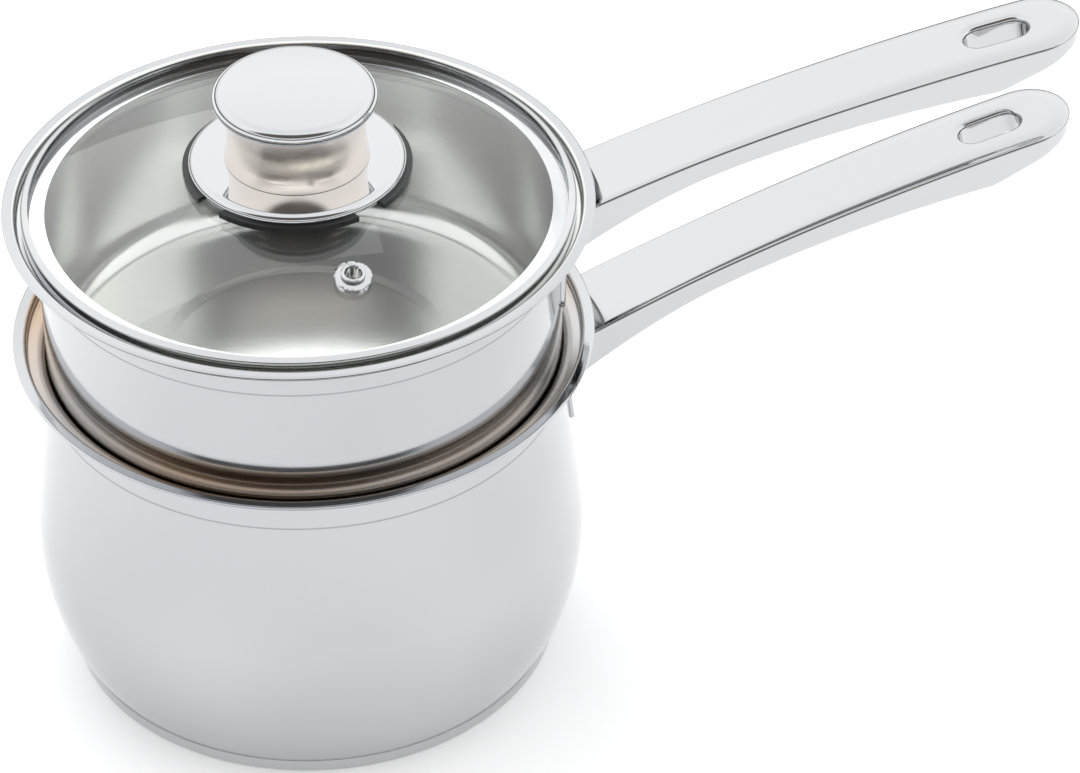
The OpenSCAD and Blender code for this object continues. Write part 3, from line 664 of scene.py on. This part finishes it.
class Grip:
    """One handle's run from the wall to its tip, with distances from the root along it.
    Its waist and its deepest place are shares of its length, and so are the place where the
    rolled edge starts to widen and the span over which it does."""
    waist_at, deep_at, swell = 0.3, 0.83, 1.8
    widen_at, widen_over = 0.1, 0.7
    side_steps, nose_steps, roll_steps, across_steps = 64, 48, 12, 6
    hole_room, hole_flat_w, plate_gap = 1.6 * MM, 0.5 * MM, 0.3 * MM
    corner = 0.25 * MM

    def __init__(self, sizes, wall, rim_z, slope, drop, reach, turn):
        self.sizes, self.wall, self.slope, self.turn = sizes, wall, slope, turn
        self.root_z = rim_z - drop
        self.root_x = self.wall_x(self.root_z - sizes.root_depth)
        self.l = reach - self.root_x
        self.hole_at = self.l - sizes.hole_from_tip

    def wall_x(self, z):
        """Where the root stands at height z."""
        return radius_at(self.wall, z) + self.sizes.bracket_gap

    def top(self, x):
        """Height of the handle's top."""
        return self.root_z + self.slope * x - x * x / (2 * self.sizes.curve_r)

    def depth(self, x):
        """Height of the side walls."""
        s, u = self.sizes, max(x / self.l, 0)
        if u < self.waist_at:
            return s.waist_depth + (s.root_depth - s.waist_depth) * (1 - u / self.waist_at) ** 2
        if u < self.deep_at:
            share = (u - self.waist_at) / (self.deep_at - self.waist_at)
            return s.waist_depth + (s.end_depth - s.waist_depth) * share ** self.swell
        return s.end_depth + (s.tip_depth - s.end_depth) * (u - self.deep_at) / (1 - self.deep_at)

    def half_width(self, x):
        """Half the channel's width, outside."""
        s, u = self.sizes, x / self.l
        if u < self.waist_at:
            return ease(s.root_w, s.waist_w, u / self.waist_at)
        return ease(s.waist_w, s.end_w, (u - self.waist_at) / (self.deep_at - self.waist_at))

    def edge(self, x):
        """Width and height of the rolled upper edge."""
        s, share = self.sizes, (x / self.l - self.widen_at) / self.widen_over
        return ease(s.root_edge_w, s.end_edge_w, share), ease(s.root_edge_h, s.end_edge_h, share)

    def plan(self):
        """The outline seen from above, round the nose, as places and outward directions."""
        s = self.sizes
        straight = self.l - s.nose_l
        side = [straight * i / self.side_steps for i in range(self.side_steps)]
        nose = [pi * i / self.nose_steps for i in range(self.nose_steps + 1)]
        out = [(x, -self.half_width(x), 0, -1) for x in side]
        for a in nose:
            nx, ny = sin(a) / s.nose_l, -cos(a) / s.end_w
            size = hypot(nx, ny)
            out.append((straight + s.nose_l * sin(a), -s.end_w * cos(a), nx / size, ny / size))
        return out + [(x, self.half_width(x), 0, 1) for x in reversed(side)]

    def placed(self, x, y, z):
        """A point in the part's frame. At the root it lies on the wall."""
        if x <= 0:
            wall = self.wall_x(z)
            x = sqrt(wall * wall - y * y) - self.root_x
        x += self.root_x
        c, n = cos(self.turn), sin(self.turn)
        return (x * c - y * n, x * n + y * c, z)

    def row(self, inset, drop, from_below=False):
        """One line of points round the handle. Inset and drop are shares of the rolled edge
        or, from below, the drop is a share of the side wall under that edge."""
        out = []
        for x, y, nx, ny in self.plan():
            edge_w, edge_h = self.edge(x)
            x, y = x - nx * inset * edge_w, y - ny * inset * edge_w
            fall = edge_h * drop
            if from_below:
                fall = edge_h + (self.depth(x) - edge_h) * drop
            out.append(self.placed(x, y, self.top(x) - fall))
        return out

    def rolled_skin(self, name):
        """Side walls and rolled edge, from the lower edge up, and the last row, which lies
        just inside the roll on the flat top."""
        rows = [self.row(0, share, True) for share in (1, 0.93, 0.5, 0.08)]
        for i in range(self.roll_steps + 1):
            a = pi / 2 * i / self.roll_steps
            rows.append(self.row(1 - cos(a), 1 - sin(a)))
        rows.append(self.row(1.06, 0))
        return laid(name, rows), rows[-1]

    def crown_skin(self, name, edge):
        """The flat top between the rolled edges, open round the hanging hole. Gives the
        skins, and the points round the opening in order."""
        count = len(edge) // 2
        rows = []
        for left, right in zip(edge[:count + 1], reversed(edge)):
            rows.append([tuple(a + (b - a) * i / self.across_steps for a, b in zip(left, right))
                         for i in range(self.across_steps + 1)])
        room = self.sizes.hole_l / 2 + self.sizes.hole_roll_r + self.hole_room
        along = [hypot(*row[0][:2]) for row in rows]
        middle = self.root_x + self.hole_at
        first = max(i for i, x in enumerate(along) if x < middle - room)
        last = min(i for i, x in enumerate(along) if x > middle + room)
        ring = ([row[0] for row in rows[first:last + 1]] + rows[last][1:-1]
                + [row[-1] for row in reversed(rows[first:last + 1])] + rows[first][-2:0:-1])
        return [laid(name + "_1", rows[:first + 1]), laid(name + "_2", rows[last:])], ring

    def hole_skin(self, name, ring):
        """The top round the hanging hole, its rolled edge, and the wall down to the underside.
        The hole stands square to the top, which leans there."""
        s = self.sizes
        lean = atan2(self.slope - self.hole_at / s.curve_r, 1)
        straight = (s.hole_l - s.hole_w) / 2
        c, n = cos(self.turn), sin(self.turn)
        outer = ring + ring[:1]

        def outline(spread, sink, through=0):
            """The hole's outline, wider by spread and lower by sink. Through is the share of
            the way from there down to the closing plate."""
            row = []
            for point in outer:
                x = point[0] * c + point[1] * n - self.root_x
                y = point[1] * c - point[0] * n
                a = atan2(y, x - self.hole_at)
                half = s.hole_w / 2 + spread
                reach = half / max(abs(sin(a)), 1e-9)
                if abs(reach * cos(a)) > straight:
                    reach = straight * abs(cos(a)) + sqrt(half ** 2 - (straight * sin(a)) ** 2)
                x, y = self.hole_at + reach * cos(a) * cos(lean), reach * sin(a)
                z, fall = self.top(x), sink
                for _ in range(4 if through else 0):
                    under = x + fall * sin(lean)
                    below = z - self.top(under) + self.depth(under)
                    fall = (below - self.plate_gap) / cos(lean)
                fall = sink + (fall - sink) * through
                row.append(self.placed(x + fall * sin(lean), y, z - fall * cos(lean)))
            return row

        r = s.hole_roll_r
        flat = outline(r + self.hole_flat_w, 0)
        between = [tuple((a + b) / 2 for a, b in zip(p, q)) for p, q in zip(outer, flat)]
        rows = [outer, between, flat]
        for i in range(self.roll_steps + 1):
            a = pi / 2 * i / self.roll_steps
            rows.append(outline(r - r * sin(a), r - r * cos(a)))
        rows += [outline(0, r, share) for share in (0.08, 0.5, 0.95, 1)]
        return laid(name, rows)

    def channel(self, name):
        """The whole channel: its skins sewn together, then given their thickness inwards."""
        skin, edge = self.rolled_skin(name)
        crown, ring = self.crown_skin(name + "_crown", edge)
        piece = sewn([skin, *crown, self.hole_skin(name + "_hole", ring)])
        modified(piece, "SOLIDIFY", thickness=self.sizes.sheet_t, offset=-1)
        modified(piece, "BEVEL", width=self.corner, segments=2, limit_method="ANGLE",
                 angle_limit=radians(60))
        smooth(piece)
        return piece


class BuildHandles(bpy.types.Operator):
    """Presses both hollow handles"""
    bl_idname = "cookware.handles"
    bl_label = "Handles"

    def execute(self, context):
        scene = context.scene
        sizes, rim, pan = scene.cookware_handle, scene.cookware_rim, scene.cookware_pan
        lower_z, upper_z = highest("pan_shell").z, highest("insert_shell").z
        lower_wall = shifted(distinct(pan_path(rim, pan, lower_z)), rim.sheet_t / 2)
        upper_wall = shifted(distinct(insert_path(rim, pan, lowest("insert_shell").z, upper_z)),
                             rim.sheet_t / 2)
        lower = Grip(sizes, lower_wall, lower_z, sizes.lower_slope, sizes.lower_drop,
                     sizes.lower_reach, 0).channel("lower_handle")
        upper = Grip(sizes, upper_wall, upper_z, sizes.upper_slope, sizes.upper_drop,
                     sizes.upper_reach, sizes.upper_turn).channel("upper_handle")
        dress(lower, "grip", "polished_steel", "pan", "pan_handle")
        dress(upper, "grip", "polished_steel", "insert", "insert_handle")
        finish_node("pan_handle_plate", "mirror")
        finish_node("insert_handle_plate", "mirror")
        return {"FINISHED"}


class Lid:
    """Heights of the lid's parts, worked out from the rim's plane"""
    def __init__(self, rim, lid, rim_z):
        self.rim_z = rim_z
        self.glass_r = lid.band_r - lid.band_t - lid.band_gap
        self.glass_low = rim_z - rim.recess_h + lid.band_t + lid.band_gap
        self.ball_z = self.glass_low - sqrt((lid.dome_r - lid.glass_t) ** 2 - self.glass_r ** 2)
        self.dome_r, self.glass_t = lid.dome_r, lid.glass_t

    def outer(self, r):
        """Height of the glass's upper face."""
        return self.ball_z + sqrt(self.dome_r ** 2 - r * r)

    def inner(self, r):
        """Height of its lower face."""
        return self.ball_z + sqrt((self.dome_r - self.glass_t) ** 2 - r * r)


class BuildLid(bpy.types.Operator):
    """Bends the glass lid, and rolls its band and vent"""
    bl_idname = "cookware.lid"
    bl_label = "Lid"

    def execute(self, context):
        lid, rim = context.scene.cookware_lid, context.scene.cookware_rim
        form = Lid(rim, lid, highest("insert_shell").z)
        self.glass(lid, form)
        self.band(lid, form)
        for node in ("vent_eyelet", "vent_washer"):
            smooth_copy(node, "mirror", "polished_steel", "lid")
        return {"FINISHED"}

    def glass(self, lid, form):
        ground, count = 0.6 * MM, 48
        run = form.glass_r - ground - lid.glass_hole_r
        steps = [lid.glass_hole_r + run * i / count for i in range(count + 1)]
        edge = arc(form.glass_r - ground, form.outer(form.glass_r) - ground, ground, 80, 0, 6)
        outline = ([(r, form.outer(r)) for r in steps] + edge
                   + [(form.glass_r, form.glass_low + 0.05 * MM)]
                   + [(r, form.inner(r)) for r in reversed(steps)])
        glass = turned("lid_dome", outline, PAN_STEPS)
        dress(glass, "glass", "lid_glass", "lid", "lid_glass")

    def band(self, lid, form):
        bend, half = 0.7 * MM, lid.band_t / 2
        side = lid.band_r - half
        low = form.glass_low - lid.band_gap - half
        lift = lid.band_gap + half
        top_r, inner_r = side - bend, lid.band_r - lid.band_w
        path = ([(lid.band_r - lid.band_low_w, low)]
                + arc(side - bend, low + bend, bend, -90, 0, 8)
                + arc(top_r, form.outer(top_r) + lift - bend, bend, 0, 75, 8)
                + [(inner_r, form.outer(inner_r) + lift)])
        band = turned("lid_rim_band", supported(sheet(path, lid.band_t)), PAN_STEPS)
        dress(band, "mirror", "polished_steel", "lid", "lid_band")


class BuildKnob(bpy.types.Operator):
    """Turns the knob and finishes its fixings"""
    bl_idname = "cookware.knob"
    bl_label = "Knob"

    def execute(self, context):
        lid = context.scene.cookware_lid
        self.plate(lid)
        self.neck(lid)
        self.cap(lid)
        for node, finish in {"knob_spacer": "black", "knob_nut": "mirror", "knob_screw": "mirror",
                             "knob_washer": "mirror", "knob_gasket": "gasket"}.items():
            finish_node(node, finish)
        return {"FINISHED"}

    def plate(self, lid):
        half, bend = lid.knob_t / 2, 2 * MM
        plate_z = highest("knob_plate").z
        top, side = plate_z - half, lid.plate_r - half
        path = ([(lid.screw_hole_r, top)] + arc(side - bend, top - bend, bend, 90, 0, 12)
                + [(side, plate_z - lid.plate_skirt_h)])
        plate = turned("knob_base", supported(sheet(path, lid.knob_t)), KNOB_STEPS)
        dress(plate, "mirror", "polished_steel", "lid", "knob_plate")

    def neck(self, lid):
        low, high, count = lowest("knob_neck").z, highest("knob_neck").z, 24
        waist, sag = lid.waist_r - lid.knob_t / 2, lid.neck_r - lid.waist_r
        path = [(waist + sag * (2 * i / count - 1) ** 2, low + (high - low) * i / count)
                for i in range(count + 1)]
        neck = turned("knob_waist", sheet(path, lid.knob_t), KNOB_STEPS)
        # The neck takes the pale cream base that paints its warm, light reflections.
        dress(neck, "warm", "knob_neck_steel", "lid", "knob_neck")

    def cap(self, lid):
        """The crown falls as a parabola that meets the rolled edge at the edge's own slope,
        which a few rounds settle. The roll ends just past its lowest point."""
        half, count, roll_end = lid.knob_t / 2, 20, -95
        roll_z = highest("knob_plate").z + lid.neck_h + lid.cap_roll_r
        roll = lid.cap_roll_r - half
        roll_x = lid.cap_r - lid.cap_roll_r
        slope = 0
        for _ in range(8):
            seam_r = roll_x + roll * sin(slope)
            fall = lid.cap_crown_h + roll * (1 - cos(slope))
            slope = atan2(2 * fall, seam_r)
        top = roll_z + roll + lid.cap_crown_h
        crown = [(seam_r * i / count, top - fall * (i / count) ** 2) for i in range(count + 1)]
        path = distinct(crown + arc(roll_x, roll_z, roll, 90 - degrees(slope), roll_end, 28))
        outline = shifted(path, half) + shifted(path, -half)[::-1]
        cap = turned("knob_crown", outline, KNOB_STEPS, closed=False)
        dress(cap, "mirror", "polished_steel", "lid", "knob_cap")


class BuildStudio(bpy.types.Operator):
    """Sets the pale floor, the soft light and the camera"""
    bl_idname = "cookware.studio"
    bl_label = "Studio"

    def execute(self, context):
        studio = context.scene.cookware_studio
        self.floor(studio)
        self.surroundings(studio)
        self.lamps()
        self.camera(context, studio)
        context.scene.view_settings.view_transform = "Standard"
        return {"FINISHED"}

    def floor(self, studio):
        """The table that the object stands on."""
        bpy.ops.object.select_all(action="DESELECT")
        bpy.ops.mesh.primitive_plane_add(size=6)
        floor = bpy.context.active_object
        floor.name = "studio_floor"
        floor.data.materials.append(painted_board("painted board, matt", studio.floor_colour))

    def surroundings(self, studio):
        """A white room with a dark skirting, and a wide oval dark screen on the near side that
        gives the bright metal its dark edges. The camera itself sees plain white."""
        world = bpy.data.worlds.new("studio room")
        bpy.context.scene.world = world
        world.use_nodes = True
        tree = world.node_tree
        tree.nodes.clear()
        place = add_node(tree, "ShaderNodeTexCoord").outputs["Generated"]
        parts = add_node(tree, "ShaderNodeSeparateXYZ", Vector=place)
        ramp = add_node(tree, "ShaderNodeValToRGB", Fac=parts.outputs["Z"])
        stops = ((0.0, "#4a4744"), (0.08, "#5c5a58"), (0.18, "#e2e3e4"), (0.5, "#f8f8f8"),
                 (1.0, "#e6e7e8"))
        bands = ramp.color_ramp.elements
        while len(bands) < len(stops):
            bands.new(1.0)
        for band, (at, tone) in zip(bands, stops):
            band.position = at
            band.color = linear(tone)

        flatness, inner, outer = 0.42, 0.26, 0.40
        cb, sb = cos(studio.bearing), sin(studio.bearing)
        cp, sp = cos(studio.pitch), sin(studio.pitch)
        across = add_node(tree, "ShaderNodeVectorMath",
                          {"operation": "DOT_PRODUCT", 1: (sb * flatness, -cb * flatness, 0)},
                          in0=place)
        along = add_node(tree, "ShaderNodeVectorMath",
                         {"operation": "DOT_PRODUCT", 1: (cb * sp, sb * sp, cp)}, in0=place)
        off = add_node(tree, "ShaderNodeCombineXYZ",
                       X=across.outputs["Value"], Y=along.outputs["Value"])
        size = add_node(tree, "ShaderNodeVectorMath", {"operation": "LENGTH"}, in0=off.outputs[0])
        oval = add_node(tree, "ShaderNodeMapRange",
                        {"interpolation_type": "SMOOTHSTEP", "From Min": outer, "From Max": inner},
                        Value=size.outputs["Value"])
        room = add_node(tree, "ShaderNodeMix", {"data_type": "RGBA", 7: linear("#5a5755")},
                        in0=oval.outputs["Result"], in6=ramp.outputs["Color"])
        path = add_node(tree, "ShaderNodeLightPath")
        seen = add_node(tree, "ShaderNodeMix", {"data_type": "RGBA", 7: linear("#f8f8f8")},
                        in0=path.outputs["Is Camera Ray"], in6=room.outputs[2])
        light = add_node(tree, "ShaderNodeBackground", {"Strength": 1.55}, Color=seen.outputs[2])
        add_node(tree, "ShaderNodeOutputWorld", Surface=light.outputs["Background"])

    def lamps(self):
        """One broad softbox over the far side, out of the metal's reflections."""
        light = bpy.data.lights.new("softbox_far", "AREA")
        light.size = 1.6
        light.energy = 10
        lamp = bpy.data.objects.new("softbox_far", light)
        bpy.context.scene.collection.objects.link(lamp)
        place, aim = Vector((-0.2, 1.7, 1.5)), Vector((0.05, 0, 0.1))
        lamp.location = place
        lamp.visible_glossy = False
        lamp.rotation_euler = (aim - place).to_track_quat("-Z", "Y").to_euler()

    def camera(self, context, studio):
        """Placed by where it sees the centre of the upper pan's rim."""
        level = cos(studio.pitch)
        forward = Vector((cos(studio.bearing) * level, sin(studio.bearing) * level,
                          -sin(studio.pitch)))
        right = Vector((sin(studio.bearing), -cos(studio.bearing), 0))
        up = right.cross(forward)
        rim_centre = Vector((0, 0, highest("insert_shell").z))
        camera = bpy.data.objects.new("camera", bpy.data.cameras.new("camera"))
        context.scene.collection.objects.link(camera)
        camera.data.lens = studio.lens
        turn = Matrix((right, up, -forward)).transposed().to_4x4()
        spot = (rim_centre - forward * studio.rim_depth + right * studio.rim_left
                - up * studio.rim_above)
        camera.matrix_world = Matrix.Translation(spot) @ turn
        camera.data.clip_start = 0.05
        camera.data.clip_end = 20
        context.scene.camera = camera


class CookwarePanel(bpy.types.Panel):
    """Lists the pieces in the sidebar"""
    bl_idname = "VIEW3D_PT_cookware"
    bl_label = "Double boiler"
    bl_space_type = "VIEW_3D"
    bl_region_type = "UI"
    bl_category = "Cookware"

    def draw(self, context):
        for step in STEPS:
            self.layout.operator(step.bl_idname)
        for name in GROUPS:
            group = getattr(context.scene, name)
            for key in group.__annotations__:
                self.layout.prop(group, key)


STEPS = (BuildLowerPan, BuildUpperPan, BuildHandles, BuildLid, BuildKnob, BuildStudio)
GROUPS = {"cookware_rim": RimSizes, "cookware_pan": PanSizes,
          "cookware_handle": HandleSizes, "cookware_lid": LidSizes,
          "cookware_studio": Studio}


def register():
    for cls in (*GROUPS.values(), *STEPS, CookwarePanel):
        bpy.utils.register_class(cls)
    for name, cls in GROUPS.items():
        setattr(bpy.types.Scene, name, PointerProperty(type=cls))


def unregister():
    for name in GROUPS:
        delattr(bpy.types.Scene, name)
    for cls in reversed((*GROUPS.values(), *STEPS, CookwarePanel)):
        bpy.utils.unregister_class(cls)


def main():
    """Builds the object in its studio."""
    register()
    make_finishes()
    bpy.ops.cookware.lower_pan()
    bpy.ops.cookware.upper_pan()
    bpy.ops.cookware.handles()
    bpy.ops.cookware.lid()
    bpy.ops.cookware.knob()
    bpy.ops.cookware.studio()


if __name__ == "__main__":
    main()
